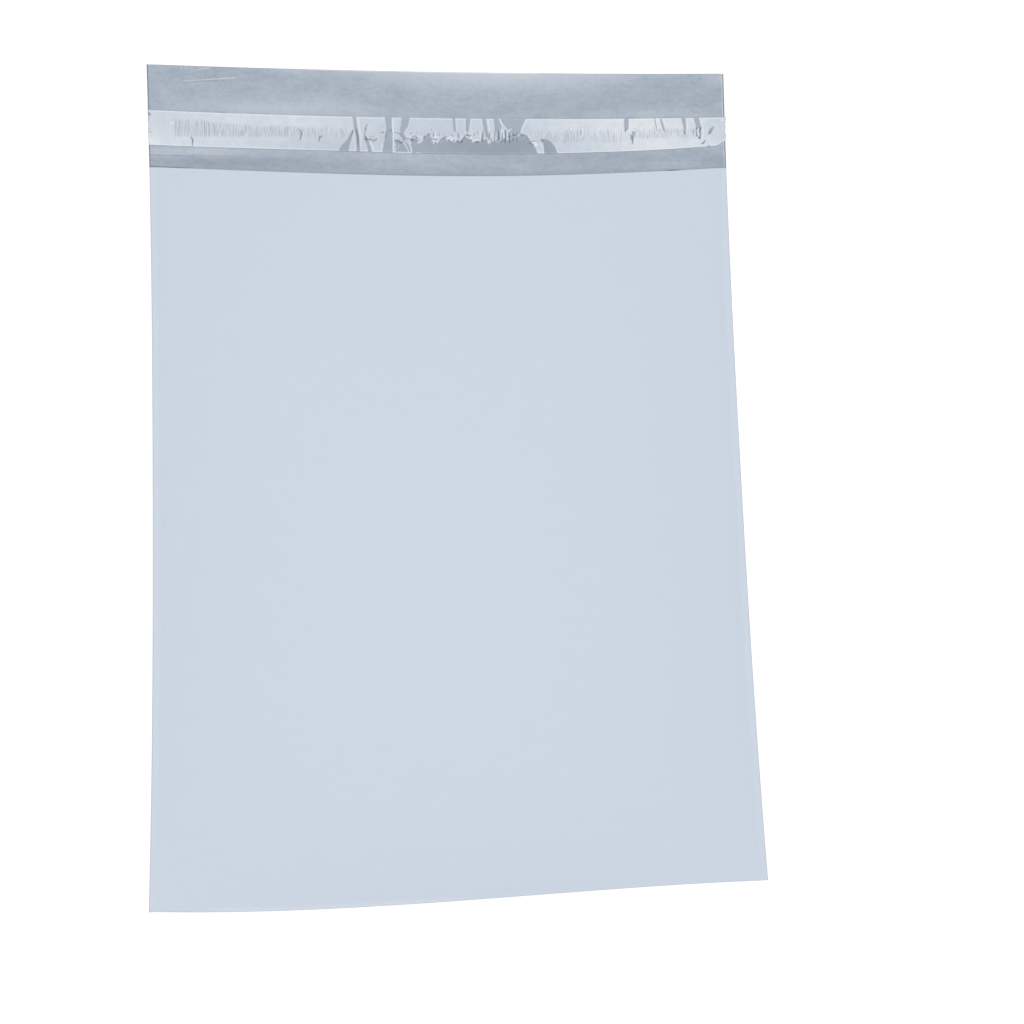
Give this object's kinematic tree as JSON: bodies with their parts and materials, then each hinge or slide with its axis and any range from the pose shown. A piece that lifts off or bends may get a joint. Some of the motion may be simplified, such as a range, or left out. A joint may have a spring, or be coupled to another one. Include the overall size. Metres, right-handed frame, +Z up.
{
  "type": "poly mailer bag",
  "caption": "Flat plastic-film mailing bag with an open pocket, side welds, a bottom fold and an unfolded flap that carries a peel-off adhesive closure.",
  "frame": {"origin": "on the surface the bag lies on, in the middle of its outline", "axes": "+X across the bag to the right seen from above, +Y from the bottom fold towards the flap's edge, +Z up out of the front panel"},
  "size_m": [0.356, 0.5006, 0.0069],
  "materials": {
    "polyethylene_film": "satin blown film, pale outside and grey inside",
    "hot_melt_adhesive": "clear tacky strip that shows the grey film under it",
    "release_film": "thin milky film with a silicone coat, wrinkled"
  },
  "bodies": {
    "root": {"mailer_film": "polyethylene_film", "adhesive_strip": "hot_melt_adhesive", "release_liner": "release_film"}
  },
  "joints": []
}
